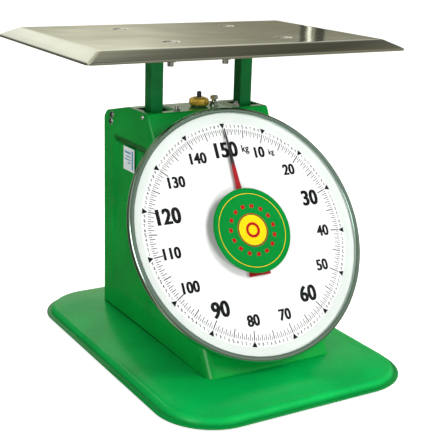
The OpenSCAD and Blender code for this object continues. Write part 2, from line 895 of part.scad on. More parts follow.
module link(z) {
  eye_y = -(link_len + 0.6);
  tilt = link_tilt;
  color(steel) translate([0, pivot_y, z]) rotate([-tilt, 0, 0]) difference() {
    union() {
      bar_x(-arm_in, arm_in, 0, 0, 8);
      pair() {
        bar_x(arm_in, arm_out, 0, 0, 11);
        bar_x(arm_in, arm_out, eye_y, 0, 8.5);
        box([arm_in, eye_y, -7], [arm_out, 0, 7]);
      }
    }
    bar_x(-100, 100, 0, 0, pin_r + run_gap);
    pair() {
      for (dy = [-1.2, 1.2]) bar_x(arm_in - 1, arm_out + 1, eye_y + dy, 0, carriage_pin_r + 0.35);
      box([arm_in - 1, eye_y - 1.2, -carriage_pin_r - 0.35],
        [arm_out + 1, eye_y + 1.2, carriage_pin_r + 0.35]);
    }
  }
}

module upper_link() {
  link(upper_z);
}

module lower_link() {
  link(lower_z);
}

// ---------- zero adjuster and springs ----------

module zero_nut() {
  ribs = 36;
  h = nut_high - nut_low;
  color(brass) translate([0, post_y, nut_low]) difference() {
    union() {
      cylinder(h = h, r = nut_r - 1);
      translate([0, 0, 1.2]) linear_extrude(h - 2.4) polygon([for (i = [0:2 * ribs - 1])
        let (r = i % 2 == 0 ? nut_r : nut_r - 0.6, a = i * 180 / ribs) r * [cos(a), sin(a)]]);
      translate([0, 0, h]) cylinder(h = 1.5, r1 = 8, r2 = 7);
    }
    translate([0, 0, -1]) cylinder(h = h + 4, r = stem_r + 0.05);
  }
}

module spring_hanger() {
  color(dark_steel) {
    box([-42, post_y - 6, hanger_low], [42, post_y + 6, hanger_high]);
    post_at(0, post_y, hanger_high - 1, stem_top, stem_r);
    post_at(0, post_y, stem_top, stem_top + 1, stem_r - 0.6);
    spring_eye(eye_high, hanger_low);
  }
}

// an extension spring: one wire swept along a hook, a helix that runs in at both ends, and a hook
coil_turns = 13;
coil_sides = 6;
coil_steps = 16;
coil_skip = 3;
coil_rings = coil_turns * coil_steps;
hook_c = eye_low - 1 + loop_r;
coil_low = hook_c + 10;
coil_high = eye_low + eye_high - coil_low;
function coil_r(i) = spring_r * sin(90 * min(1, i / coil_steps, (coil_rings - i) / coil_steps));
function coil_point(i) = let (a = 360 * i / coil_steps)
  [coil_r(i) * cos(a), coil_r(i) * sin(a), coil_low + (coil_high - coil_low) * i / coil_rings];
function flip(p) = [p[0], -p[1], eye_low + eye_high - p[2]];
hook = concat([for (a = [-220:25:55]) [0, loop_r * cos(a), hook_c + loop_r * sin(a)]],
  [[0, 1.2, hook_c + 8]]);
wire_path = concat(hook, [for (i = [coil_skip:coil_rings - coil_skip]) coil_point(i)],
  [for (i = [len(hook) - 1:-1:0]) flip(hook[i])]);
wire_last = len(wire_path) - 1;
function unit(v) = v / norm(v);
function way(i) = unit(wire_path[min(i + 1, wire_last)] - wire_path[max(i - 1, 0)]);
function square_off(u, d) = unit(u - (u * d) * d);
wire_sides = [for (i = 0, u = [1, 0, 0]; i <= wire_last;
  i = i + 1, u = square_off(u, way(min(i, wire_last)))) u];
function wire_section(i) = let (s = wire_sides[i], u = cross(way(i), s))
  [for (k = [0:coil_sides - 1])
    wire_path[i] + wire_r * (cos(360 * k / coil_sides) * s + sin(360 * k / coil_sides) * u)];

module spring(x) {
  n = coil_sides;
  points = [for (i = [0:wire_last]) each wire_section(i)];
  walls = [for (i = [0:wire_last - 1], k = [0:n - 1])
    [i * n + k, (i + 1) * n + k, (i + 1) * n + (k + 1) % n, i * n + (k + 1) % n]];
  color(steel) translate([x, post_y, 0])
    polyhedron(points, concat([[for (k = [0:n - 1]) k]], walls, [[for (k = [n - 1:-1:0]) wire_last * n + k]]),
      convexity = 10);
}

module left_spring() {
  spring(-spring_x);
}

module right_spring() {
  spring(spring_x);
}

base_tray();
rubber_feet();
body_shell();
rear_cover();
rear_cover_screws();
side_rivets();
main_frame();
frame_bolts();
upper_pivot_pin();
lower_pivot_pin();
top_bolts();
lock_bolt();
nut_washer();
side_label();
dial_pan();
dial_pan_screws();
dial_pillars();
dial_plate();
dial_surround();
lens();
bezel_ring();
centre_disc();
movement_frame();
movement_screws();
shaft_bushes();
rack_guide();
platform();
platform_screws();
spider_frame();
crossbar();
crossbar_bolts();
left_post();
right_post();
lower_crossbar();
carriage_pins();
drive_arm();
bimetal_strip();
drive_pin();
upper_link();
lower_link();
rack();
pointer();
pointer_hub();
pointer_shaft();
pinion();
zero_nut();
spring_hanger();
left_spring();
right_spring();
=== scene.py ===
"""Looks of the dial platform scale: smooth sheet metal, printed dial, materials, light and camera."""
import json
import math

import bmesh
import bpy
from mathutils import Matrix, Vector


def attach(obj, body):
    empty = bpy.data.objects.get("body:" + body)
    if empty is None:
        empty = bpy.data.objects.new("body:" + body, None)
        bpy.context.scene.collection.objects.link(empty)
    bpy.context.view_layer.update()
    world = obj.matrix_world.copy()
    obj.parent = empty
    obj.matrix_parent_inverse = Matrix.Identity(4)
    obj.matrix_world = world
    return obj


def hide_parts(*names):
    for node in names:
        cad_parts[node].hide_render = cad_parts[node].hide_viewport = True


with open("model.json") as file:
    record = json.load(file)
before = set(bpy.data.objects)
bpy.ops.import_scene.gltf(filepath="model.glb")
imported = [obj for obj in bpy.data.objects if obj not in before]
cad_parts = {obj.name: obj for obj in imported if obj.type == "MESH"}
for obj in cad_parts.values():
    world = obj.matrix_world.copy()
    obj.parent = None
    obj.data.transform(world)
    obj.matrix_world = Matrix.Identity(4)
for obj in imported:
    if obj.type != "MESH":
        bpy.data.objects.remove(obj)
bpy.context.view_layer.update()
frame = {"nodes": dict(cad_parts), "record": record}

# the CAD's own dimensions, in millimetres
MM = 0.001
TRAY_W = 326
TRAY_D = 448
TRAY_CORNER = 70
BASE_TOP = 20.0       # top of the tray, foot of the body
HALF_W = 86.5         # half the body's width
FRONT = 142.0         # from the middle to the body's foot in front
BACK_Y = 147.0
TOP_Z = 301.0
LEAN = math.radians(30.5)
POST_Y = 50.0         # the posts, the zero nut and the platform stand around this line
UP_THE_FRONT = 161.9  # from the foot of the front to the dial's middle
PAN_DEPTH = 27.7      # from the front of the body to the dial's own zero plane
PLATE_Z = -8.0        # the dial plate's face
LENS_R = 146
DISC_R = 52
NUT_BOTTOM = 302.5
PLATFORM_W = 426
PLATFORM_D = 280
PLATFORM_TOP = 392.4

# the dial's own frame: X across, U up the dial, N out of it
DIAL_U = Vector((0.0, math.sin(LEAN), math.cos(LEAN)))
DIAL_N = Vector((0.0, -math.cos(LEAN), math.sin(LEAN)))
DIAL_C = Vector((0.0, -FRONT, BASE_TOP)) + DIAL_U * UP_THE_FRONT + DIAL_N * PAN_DEPTH


def on_dial(x, u, n):
    """A point given across, up and out of the dial."""
    return DIAL_C + Vector((x, 0, 0)) + DIAL_U * u + DIAL_N * n


def upright(cx, cy, z0=0.0):
    """A placing function for lathes and discs that stand upright at (cx, cy)."""
    return lambda x, y, z: Vector((cx + x, cy + y, z0 + z))


def sideways(side, y0, z0):
    """A placing function for discs on a side wall: their axis points out of the wall."""
    return lambda x, y, z: Vector((side * (HALF_W + z), y0 + x, z0 + y))


def smoothstep(low, high, value):
    """Rises smoothly from 0 at low to 1 at high."""
    t = min(1.0, max(0.0, (value - low) / (high - low)))
    return t * t * (3 - 2 * t)


# ---------- materials ----------

def noise(tree, scale, detail=3.0, rough=0.5, stretch=(1, 1, 1)):
    """Noise in the object's own coordinates; scale is per metre."""
    nodes, links = tree.nodes, tree.links
    coord = nodes.new("ShaderNodeTexCoord")
    place = nodes.new("ShaderNodeMapping")
    place.inputs["Scale"].default_value = stretch
    tex = nodes.new("ShaderNodeTexNoise")
    tex.inputs["Scale"].default_value = scale
    tex.inputs["Detail"].default_value = detail
    tex.inputs["Roughness"].default_value = rough
    links.new(coord.outputs["Object"], place.inputs["Vector"])
    links.new(place.outputs["Vector"], tex.inputs["Vector"])
    return tex.outputs["Fac"]


def remap(tree, value, low, high, to_low, to_high):
    """Maps a value's range onto another, held at both ends."""
    node = tree.nodes.new("ShaderNodeMapRange")
    for key, number in (("From Min", low), ("From Max", high), ("To Min", to_low), ("To Max", to_high)):
        node.inputs[key].default_value = number
    tree.links.new(value, node.inputs["Value"])
    return node.outputs["Result"]


def blend(tree, fac, a, b):
    """Mixes two colours, each a socket or a tuple."""
    node = tree.nodes.new("ShaderNodeMix")
    node.data_type = "RGBA"
    tree.links.new(fac, node.inputs["Factor"])
    for socket, colour in ((node.inputs[6], a), (node.inputs[7], b)):
        if isinstance(colour, tuple):
            socket.default_value = (*colour, 1.0)
        else:
            tree.links.new(colour, socket)
    return node.outputs[2]


def surface(name, colour, rough, metal=0.0, coat=0.0, vary=0.12, vary_scale=18.0, rough_vary=0.06,
            bump=0.05, bump_scale=900.0, stretch=(1, 1, 1), alpha=1.0, specks=None, spec=0.5):
    """A principled material with drifting colour and roughness, a fine bump and, if asked, specks of dirt."""
    mat = bpy.data.materials.new(name)
    mat.use_nodes = True
    tree = mat.node_tree
    shader = tree.nodes["Principled BSDF"]
    drift = noise(tree, vary_scale, 4.0, 0.55, stretch)
    dark = tuple(c * (1 - vary) for c in colour)
    light = tuple(min(1.0, c * (1 + vary)) for c in colour)
    base = blend(tree, remap(tree, drift, 0.3, 0.7, 0.0, 1.0), dark, light)
    if specks:
        spots = remap(tree, noise(tree, specks[0], 6.0, 0.7), specks[1], specks[1] + 0.08, 0.0, specks[2])
        base = blend(tree, spots, base, tuple(c * 0.45 + 0.02 for c in colour))
    tree.links.new(base, shader.inputs["Base Color"])
    fine = noise(tree, bump_scale, 3.0, 0.6, stretch)
    tree.links.new(remap(tree, fine, 0.3, 0.7, max(0.02, rough - rough_vary), rough + rough_vary),
                   shader.inputs["Roughness"])
    relief = tree.nodes.new("ShaderNodeBump")
    relief.inputs["Strength"].default_value = bump
    relief.inputs["Distance"].default_value = 0.0004
    tree.links.new(fine, relief.inputs["Height"])
    tree.links.new(relief.outputs["Normal"], shader.inputs["Normal"])
    shader.inputs["Metallic"].default_value = metal
    shader.inputs["Coat Weight"].default_value = coat
    shader.inputs["Coat Roughness"].default_value = 0.08
    shader.inputs["Specular IOR Level"].default_value = spec
    shader.inputs["Alpha"].default_value = alpha
    return mat


MATS = {
    "base_green": surface("base_green", (0.001, 0.36, 0.065), 0.3, coat=0.05, spec=0.14,
                          specks=(60, 0.66, 0.25)),
    "body_green": surface("body_green", (0.001, 0.27, 0.035), 0.24, coat=0.3, spec=0.1,
                          specks=(45, 0.68, 0.25)),
    "post_green": surface("post_green", (0.004, 0.14, 0.03), 0.34, coat=0.05, spec=0.15, vary=0.25,
                          specks=(120, 0.6, 0.5)),
    "stainless": surface("stainless", (0.64, 0.655, 0.56), 0.085, metal=1.0, vary=0.1, vary_scale=9.0,
                         bump=0.01, bump_scale=260.0, rough_vary=0.03, stretch=(0.06, 1, 1)),
    "steel": surface("steel", (0.56, 0.57, 0.56), 0.26, metal=0.8, vary=0.15, specks=(300, 0.62, 0.5)),
    "dark_steel": surface("dark_steel", (0.035, 0.037, 0.04), 0.45, metal=0.3, vary=0.3),
    "brass": surface("brass", (0.86, 0.55, 0.10), 0.28, metal=0.75, vary=0.2, specks=(220, 0.6, 0.6)),
    "chrome": surface("chrome", (0.74, 0.76, 0.75), 0.16, metal=0.85, vary=0.06, bump=0.02),
    "dial_white": surface("dial_white", (0.86, 0.87, 0.88), 0.4, vary=0.02, bump=0.01),
    "grey_plastic": surface("grey_plastic", (0.72, 0.78, 0.75), 0.38, vary=0.04, bump=0.02),
    "lens_clear": surface("lens_clear", (0.02, 0.025, 0.025), 0.05, vary=0.02, bump=0.0, rough_vary=0.01,
                          alpha=0.05),
    "disc_green": surface("disc_green", (0.0, 0.19, 0.025), 0.4, spec=0.08, vary=0.1, bump=0.02),
    "pointer_red": surface("pointer_red", (0.36, 0.008, 0.014), 0.4, spec=0.2, vary=0.1),
    "rubber": surface("rubber", (0.025, 0.025, 0.025), 0.7, vary=0.3, bump=0.2, bump_scale=600.0),
    "label": surface("label", (0.74, 0.80, 0.82), 0.35, vary=0.05),
    "nylon": surface("nylon", (0.8, 0.8, 0.76), 0.5, vary=0.05),
}
# painted reflection: the bezel ring's metal is darker and greener than chrome, standing for the green paint
# around it that it reflects
RING_PAINTED_REFLECTION = surface("bezel_painted_reflection", (0.38, 0.53, 0.46), 0.14, metal=1.0, vary=0.06, bump=0.02)

# the pressed sheet is never quite flat: wide, shallow dents bend its reflections
tree = MATS["stainless"].node_tree
dents = tree.nodes.new("ShaderNodeBump")
dents.inputs["Strength"].default_value = 0.7
dents.inputs["Distance"].default_value = 0.0006
tree.links.new(noise(tree, 11.0, 1.5, 0.4), dents.inputs["Height"])
fine_relief = tree.nodes["Principled BSDF"].inputs["Normal"].links[0].from_node
tree.links.new(dents.outputs["Normal"], fine_relief.inputs["Normal"])

PRINT_BLACK = surface("print_black", (0.008, 0.008, 0.010), 0.6, spec=0.1, vary=0.3, bump=0.02)
PRINT_RED = surface("print_red", (0.33, 0.006, 0.008), 0.5, spec=0.1, vary=0.1, bump=0.02)
PRINT_GOLD = surface("print_gold", (0.90, 0.52, 0.005), 0.5, spec=0.1, vary=0.1, bump=0.02)
PRINT_BLUE = surface("print_blue", (0.12, 0.30, 0.50), 0.45, vary=0.1, bump=0.02)


def recolour(mat, value, low, high, below=None, above=None):
    """Gives a material another colour where a value is below, or above, a band."""
    tree = mat.node_tree
    base = tree.nodes["Principled BSDF"].inputs["Base Color"]
    old = base.links[0].from_socket
    tree.links.new(blend(tree, remap(tree, value, low, high, 0.0, 1.0), below or old, above or old), base)


def axis_value(mat, source, axis):
    """How far a point's position ("Object"), or its surface's direction ("Normal"), goes along an axis."""
    tree = mat.node_tree
    coord = tree.nodes.new("ShaderNodeTexCoord")
    along = tree.nodes.new("ShaderNodeVectorMath")
    along.operation = "DOT_PRODUCT"
    along.inputs[1].default_value = axis
    tree.links.new(coord.outputs[source], along.inputs[0])
    return along.outputs["Value"]


# the pointer's outer half is blackened; painted shade: the tray's lower edge and the body's downward faces
# are darkened to stand for the shade they sit in
UP = (0, 0, 1)
black_from = DIAL_C.dot(DIAL_U) * MM + 0.080
recolour(MATS["pointer_red"], axis_value(MATS["pointer_red"], "Object", DIAL_U),
         black_from, black_from + 0.008, above=(0.02, 0.02, 0.022))
# painted shade: below 3 to 9 mm the tray's lip and the foot of its shoulder turn dark green, for the shade
# along its rolled edge and the floor
recolour(MATS["base_green"], axis_value(MATS["base_green"], "Object", UP),
         0.003, 0.009, below=(0.001, 0.15, 0.025))
# painted shade: body faces that point downwards are darkened, for the little light they gather
recolour(MATS["body_green"], axis_value(MATS["body_green"], "Normal", UP),
         -0.3, -0.04, below=(0.0005, 0.10, 0.012))


# ---------- mesh builders, all in millimetres ----------

def piece(name, verts, faces, mat, body, slot, replaces=(), smooth=True, flat_angle=35):
    """A new mesh object that rides on a CAD body and may stand for CAD nodes."""
    mesh = bpy.data.meshes.new(name)
    mesh.from_pydata([tuple(Vector(v) * MM) for v in verts], [], faces)
    bm = bmesh.new()
    bm.from_mesh(mesh)
    bmesh.ops.remove_doubles(bm, verts=bm.verts, dist=1e-6)
    bmesh.ops.recalc_face_normals(bm, faces=bm.faces)
    bm.to_mesh(mesh)
    bm.free()
    mesh.materials.append(mat)
    obj = bpy.data.objects.new(name, mesh)
    bpy.context.scene.collection.objects.link(obj)
    if smooth:
        mesh.shade_smooth()
        mesh.set_sharp_from_angle(angle=math.radians(flat_angle))
    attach(obj, body)
    if replaces:
        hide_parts(*replaces)
    return obj


def add_modifier(obj, kind, **values):
    mod = obj.modifiers.new(kind.lower(), kind)
    for key, value in values.items():
        setattr(mod, key, value)
    return mod


def ring_faces(loops, count, closed_strip=False):
    """Quads between each loop of count points and the next."""
    faces = []
    pairs = loops if closed_strip else loops - 1
    for i in range(pairs):
        a, b = i * count, ((i + 1) % loops) * count
        faces += [(a + j, a + (j + 1) % count, b + (j + 1) % count, b + j) for j in range(count)]
    return faces


def lathe(profile, place, segments=160, closed=True, wave=None):
    """Verts and faces of a profile of (radius, height) turned about an axis; wave adds to the radius."""
    verts = []
    for r, h in profile:
        for j in range(segments):
            a = 2 * math.pi * j / segments
            rr = r + (wave(a, h) if wave else 0.0)
            verts.append(place(rr * math.cos(a), rr * math.sin(a), h))
    return verts, ring_faces(len(profile), segments, closed)


def rounded_rect(w, d, r, n=12, cy=0.0):
    """Points round a rectangle of width w and depth d with corners of radius r."""
    points = []
    for k, (sx, sy) in enumerate(((1, 1), (-1, 1), (-1, -1), (1, -1))):
        for i in range(n + 1):
            a = math.radians(90 * (k + i / n))
            points.append((sx * (w / 2 - r) + r * math.cos(a), cy + sy * (d / 2 - r) + r * math.sin(a)))
    return points


def rect_rings(profile, w, d, r, r_min, cy=0.0, n=12):
    """Loops of a rounded rectangle drawn in by each (inset, height) of the profile."""
    verts = []
    for inset, z in profile:
        loop = rounded_rect(w - 2 * inset, d - 2 * inset, max(r - inset, r_min), n, cy)
        verts += [(x, y, z) for x, y in loop]
    return verts, ring_faces(len(profile), 4 * (n + 1))


def screw_head(radius, rise, recess, place, steps=36):
    """A domed head with a cross recess, as a height field on a disc."""
    verts = []
    for i in range(steps + 1):
        for j in range(steps * 2):
            r = radius * i / steps
            a = math.pi * j / steps
            x, y = r * math.cos(a), r * math.sin(a)
            h = rise * math.sqrt(max(0.0, 1 - (r / radius) ** 2 * 0.97))
            arm = radius * 0.13
            across = min(abs(x + y), abs(x - y)) / math.sqrt(2)
            reach = smoothstep(radius * 0.62, radius * 0.5, r)
            h -= recess * smoothstep(arm * 1.5, arm * 0.8, across) * reach
            verts.append(place(x, y, h))
    count = steps * 2
    faces = ring_faces(steps + 1, count)
    verts += [place(radius * math.cos(math.pi * j / steps), radius * math.sin(math.pi * j / steps), -0.6)
              for j in range(count)]
    last = steps * count
    faces += [(last + j, last + (j + 1) % count, last + count + (j + 1) % count, last + count + j)
              for j in range(count)]
    return verts, faces


def join(parts):
    """Several (verts, faces) as one."""
    verts, faces = [], []
    for v, f in parts:
        start = len(verts)
        verts += v
        faces += [tuple(i + start for i in face) for face in f]
    return verts, faces


# ---------- base tray ----------

# (inset from the edge, height), from the lip inwards
SHOULDER_R = 8
shoulder = []
for degrees in range(18, 91, 9):
    a = math.radians(degrees)
    shoulder.append((14 - SHOULDER_R * math.cos(a), 5 + SHOULDER_R * math.sin(a)))
crown = [(17.5, 13.7), (22, 14.9), (28, 16.1), (35, 17.2), (44, 18.3), (54, 19.1), (64, 19.7),
         (76, 20), (90, 20)]
lip = [(0.5, 3.1), (0, 3.5), (0, 4.5), (0.5, 5.0), (3, 5.1), (5.2, 5.1), (5.9, 5.5)]
tray_profile = lip + shoulder + crown
verts, faces = rect_rings(tray_profile, TRAY_W, TRAY_D, TRAY_CORNER, 10, n=24)
loop_size = len(verts) // len(tray_profile)
faces.append(tuple(range(len(verts) - loop_size, len(verts))))
tray = piece("pressed_base_tray", verts, faces, MATS["base_green"], "housing", "base_green", ("base_tray",))
add_modifier(tray, "SOLIDIFY", thickness=1.6 * MM, offset=-1)


# ---------- body shell ----------

SLOT_X = (49, 79)
SLOT_Y = (POST_Y - 15, POST_Y + 15)


def front_y(z):
    """The leaning front's y at a height."""
    return -FRONT + (z - BASE_TOP) * math.tan(LEAN)


def rounded_corner(before, here, after, radius, steps=8):
    """Points of the arc that rounds the corner at here, between the ways to before and to after."""
    to_before = (before - here).normalized()
    to_after = (after - here).normalized()
    half = to_before.angle(to_after) / 2
    reach = radius / math.tan(half)
    middle = here + (to_before + to_after).normalized() * (radius / math.sin(half))
    a = here + to_before * reach - middle
    b = here + to_after * reach - middle
    turn = a.angle(b)
    points = []
    for k in range(steps + 1):
        t = k / steps
        points.append(middle + (a * math.sin((1 - t) * turn) + b * math.sin(t * turn)) / math.sin(turn))
    return points


def spine_points(step=3.0):
    """The shell's side outline, front edge to back edge, with its corners rounded: (y, z)."""
    corners = [(-FRONT, BASE_TOP, 0), (front_y(TOP_Z), TOP_Z, 4), (SLOT_Y[0], TOP_Z, 0),
               (SLOT_Y[1], TOP_Z, 0), (78, TOP_Z, 40), (BACK_Y, 285.5, 12), (BACK_Y, 275.9, 0)]
    places = [Vector((y, z)) for y, z, _ in corners]
    points = [places[0]]
    for i in range(1, len(corners)):
        radius = corners[i][2]
        arc = [places[i]]
        if radius:
            arc = rounded_corner(places[i - 1], places[i], places[i + 1], radius)
        run = (arc[0] - points[-1]).length
        parts = max(1, round(run / step))
        previous = points[-1]
        points += [previous.lerp(arc[0], k / parts) for k in range(1, parts + 1)]
        points += arc[1:]
    clean = [points[0]]
    for p in points[1:]:
        if (p - clean[-1]).length > 0.05:
            clean.append(p)
    return clean


RECESS_DEPTH = 4.2
RECESS_SLOPE = 8.5
RECESS_BEHIND_FRONT = 27
RECESS_BACK = 117
RECESS_TOP = 258.5
RECESS_FOOT = 50


def recess_depth(y, z):
    """Depth of the side wall's pressed recess: steep at the back, sloped on top, fading downwards."""
    front_gap = (front_y(z) + RECESS_BEHIND_FRONT - y) * math.cos(LEAN)
    back_gap = y - RECESS_BACK - (250 - z) * 0.03
    outside = max(front_gap, back_gap * 3, z - RECESS_TOP, RECESS_FOOT - z)
    slope = min(1.0, max(0.0, -outside / RECESS_SLOPE))
    return RECESS_DEPTH * slope * (0.25 + 0.75 * smoothstep(60, 200, z))


spine = spine_points()
count = len(spine)
inward = []
for i, p in enumerate(spine):
    along_it = (spine[min(i + 1, count - 1)] - spine[max(i - 1, 0)]).normalized()
    inward.append(Vector((along_it.y, -along_it.x)))


def corner_radius(p):
    """Bend radius between side wall and spine: wide up the front, tight on top and at the back."""
    if p.x > 100:
        return 0.02 + 2.6 * smoothstep(276, 284, p.y)
    return 12 - 5 * smoothstep(-140, -40, p.x) - 4.4 * smoothstep(4, 22, p.x)


BEND_STEPS = 9
WALL_ROWS = 92


def bent_strip():
    """The front, top and rear of the shell with its side bends; the post slots on top are left open."""
    verts, faces = [], []
    for p, n in zip(spine, inward):
        r = corner_radius(p)
        flat = HALF_W - r
        half = [(x, 0.0) for x in (0, 16, 32, SLOT_X[0], 64, min(SLOT_X[1], flat - 0.3), flat)]
        for k in range(1, BEND_STEPS + 1):
            a = math.radians(90 * k / BEND_STEPS)
            half.append((flat + r * math.sin(a), r * (1 - math.cos(a))))
        row = [(-x, d) for x, d in reversed(half[1:])] + half
        verts += [(x, p.x + n.x * d, p.y + n.y * d) for x, d in row]
    across = len(row)
    for i in range(count - 1):
        mid = (spine[i] + spine[i + 1]) / 2
        slot_row = mid.y > TOP_Z - 1 and SLOT_Y[0] < mid.x < SLOT_Y[1]
        for j in range(across - 1):
            a = i * across + j
            mid_x = abs(verts[a][0] + verts[a + 1][0]) / 2
            if slot_row and SLOT_X[0] < mid_x < SLOT_X[1]:
                continue
            faces.append((a, a + 1, a + across + 1, a + across))
    return verts, faces


def side_wall(side):
    """One flat side with its recess, in upright columns from the tray to the bend."""
    verts, faces = [], []
    y = -math.inf
    for p, n in zip(spine, inward):
        r = corner_radius(p)
        y = max(y, p.x + n.x * r)
        z_top = p.y + n.y * r
        for j in range(WALL_ROWS + 1):
            z = BASE_TOP + (z_top - BASE_TOP) * j / WALL_ROWS
            verts.append((side * (HALF_W - recess_depth(y, z)), y, z))
    for i in range(count - 1):
        for j in range(WALL_ROWS):
            a = i * (WALL_ROWS + 1) + j
            faces.append((a, a + 1, a + WALL_ROWS + 2, a + WALL_ROWS + 1))
    return verts, faces


verts, faces = join([bent_strip(), side_wall(-1), side_wall(1)])
shell = piece("folded_body_shell", verts, faces, MATS["body_green"], "housing", "body_green", ("body_shell",),
              flat_angle=50)
add_modifier(shell, "SOLIDIFY", thickness=1.4 * MM, offset=-1)


# ---------- dial ----------

LENS_EDGE = -1.5
LENS_RISE = 4.5
LENS_SHEET = 2


def dome(r):
    """Height of the lens's outer face: a flat parabola."""
    return LENS_EDGE + LENS_RISE * (1 - (r / LENS_R) ** 2)


def arc_points(radius, middle, low, high, steps):
    """Points of a circular arc from one angle to another, in degrees."""
    angles = [math.radians(low + (high - low) * k / steps) for k in range(steps + 1)]
    return [(middle[0] + radius * math.cos(a), middle[1] + radius * math.sin(a)) for a in angles]


bezel_profile = [(150.1, -2.6), (150.1, -1.3), (150.35, -0.8), (150.9, -0.45), (151.8, -0.2), (152.8, -0.05)]
bezel_profile += arc_points(3.75, (153.75, -3.75), 90, 0, 14)
bezel_profile += [(157.5, -4.4), (157.4, -6.8), (156.9, -8.0), (156.1, -8.0), (156.1, -4.5), (153, -2.6)]
verts, faces = lathe(bezel_profile, on_dial)
piece("rolled_bezel_ring", verts, faces, RING_PAINTED_REFLECTION, "housing", "chrome", ("bezel_ring",))

pan_profile = [(20, -PAN_DEPTH), (134, -PAN_DEPTH), (136.6, -27.4), (138.6, -25.9), (149, -7.3), (151, -6.3),
               (156, -6.3), (156, -5), (148.4, -5), (136.5, -25.6), (134, -26.2), (20, -26.2)]
verts, faces = lathe(pan_profile, on_dial)
piece("spun_dial_pan", verts, faces, MATS["body_green"], "housing", "body_green", ("dial_pan",))

surround_profile = [(139.2, -9), (138.6, -8.2), (138.8, -7.9), (139.4, -7.7), (142.5, -6.4), (147.4, -4.3),
                    (150, -3.9), (152.6, -3.9), (152.6, -4.3), (147.5, -4.9), (140.5, -9)]
verts, faces = lathe(surround_profile, on_dial)
piece("sloped_dial_surround", verts, faces, MATS["grey_plastic"], "housing", "grey_plastic",
      ("dial_surround",))

radii = [LENS_R * k / 40 for k in range(41)]
outer = [(r, dome(r)) for r in radii] + [(152.8, LENS_EDGE), (152.9, -3.4)]
inner = [(r, dome(r) - LENS_SHEET) for r in reversed(radii)]
verts, faces = lathe(outer + inner, on_dial, closed=False)
piece("domed_lens", verts, faces, MATS["lens_clear"], "housing", "lens_clear", ("lens",))

DISC_LIFT = 0.55
disc = [(r, dome(r) + DISC_LIFT) for r in (DISC_R * k / 16 for k in range(17))]
disc += [(DISC_R + 0.3, dome(DISC_R) + 0.35), (DISC_R + 0.3, dome(DISC_R) + 0.02)]
verts, faces = lathe(disc, on_dial, closed=False)
piece("printed_centre_disc", verts, faces, MATS["disc_green"], "housing", "disc_green", ("centre_disc",))


def dome_ring(r0, r1, lift=0.62, start=0.0, end=360.0, steps=96):
    """A thin printed ring, or part of one, that follows the lens's crown."""
    verts, faces = [], []
    for j in range(steps + 1):
        a = math.radians(90 - (start + (end - start) * j / steps))
        for r in (r0, (r0 + r1) / 2, r1):
            verts.append(on_dial(r * math.cos(a), r * math.sin(a), dome(r) + lift))
    for j in range(steps):
        a = j * 3
        faces += [(a, a + 1, a + 4, a + 3), (a + 1, a + 2, a + 5, a + 4)]
    return verts, faces


gold_parts = [dome_ring(0.02, 18.5), dome_ring(45.0, 45.6)]
piece("disc_gold_field", *join(gold_parts), PRINT_GOLD, "housing", "brass")

DASHES = 15
red_parts = [dome_ring(6.0, 9.5, 0.7), dome_ring(19.5, 20.6)]
for k in range(DASHES):
    dash_from = k * 360 / DASHES + 7
    red_parts.append(dome_ring(27.5, 32.0, start=dash_from, end=dash_from + 10, steps=8))
piece("disc_red_rings", *join(red_parts), PRINT_RED, "housing", "pointer_red")


# ---------- dial print ----------

PRINT_Z = PLATE_Z + 0.08
DIGIT_HEIGHT = 0.74   # of the built-in font at size 1
SQUEEZE = 0.86
glyphs = {}


def glyph(text, height):
    """A numeral's flat mesh, centred, with the given digit height."""
    key = (text, height)
    if key not in glyphs:
        curve = bpy.data.curves.new("glyph", "FONT")
        curve.body = text
        curve.size = 1.0
        curve.offset = 0.022
        curve.space_character = 1.04
        curve.resolution_u = 5
        obj = bpy.data.objects.new("glyph", curve)
        bpy.context.scene.collection.objects.link(obj)
        bpy.context.view_layer.update()
        mesh = bpy.data.meshes.new_from_object(obj.evaluated_get(bpy.context.evaluated_depsgraph_get()))
        xs = [v.co.x for v in mesh.vertices]
        ys = [v.co.y for v in mesh.vertices]
        scale = height / DIGIT_HEIGHT
        mx, my = (min(xs) + max(xs)) / 2, (min(ys) + max(ys)) / 2
        flat = [((v.co.x - mx) * scale * SQUEEZE, (v.co.y - my) * scale) for v in mesh.vertices]
        glyphs[key] = (flat, [tuple(p.vertices) for p in mesh.polygons])
        bpy.data.objects.remove(obj)
        bpy.data.curves.remove(curve)
        bpy.data.meshes.remove(mesh)
    return glyphs[key]


def placed(shape, cx, cy, thicken=0.0):
    """A glyph on the dial, laid down a few times side by side to make it bold."""
    flat, f = shape
    shifts = (-thicken, 0.0, thicken) if thicken else (0.0,)
    return join([([on_dial(cx + x + dx, cy + y, PRINT_Z + dx * 0.01) for x, y in flat], f) for dx in shifts])


def radial(angle, points):
    """A small flat shape given as (across, radius) points, turned clockwise from the top."""
    a = math.radians(angle)
    flat = [(x * math.cos(a) + r * math.sin(a), -x * math.sin(a) + r * math.cos(a)) for x, r in points]
    return [on_dial(x, y, PRINT_Z) for x, y in flat], [tuple(range(len(points)))]


def bar(angle, width, r0, r1):
    return radial(angle, [(-width / 2, r0), (width / 2, r0), (width / 2, r1), (-width / 2, r1)])


FULL_KG = 150
DEGREES_PER_KG = 360 / FULL_KG
TICK_OUT = 131
TICK_10 = (1.25, 119)      # each tick's width and inner radius
TICK_5 = (1.15, 120)
TICK_1 = (0.85, 123.5)
TICK_HALF = (0.7, 126.8)
POINTER_MARK = [(0, 131.5), (3.7, 138.4), (-3.7, 138.4)]
SMALL_R = 135

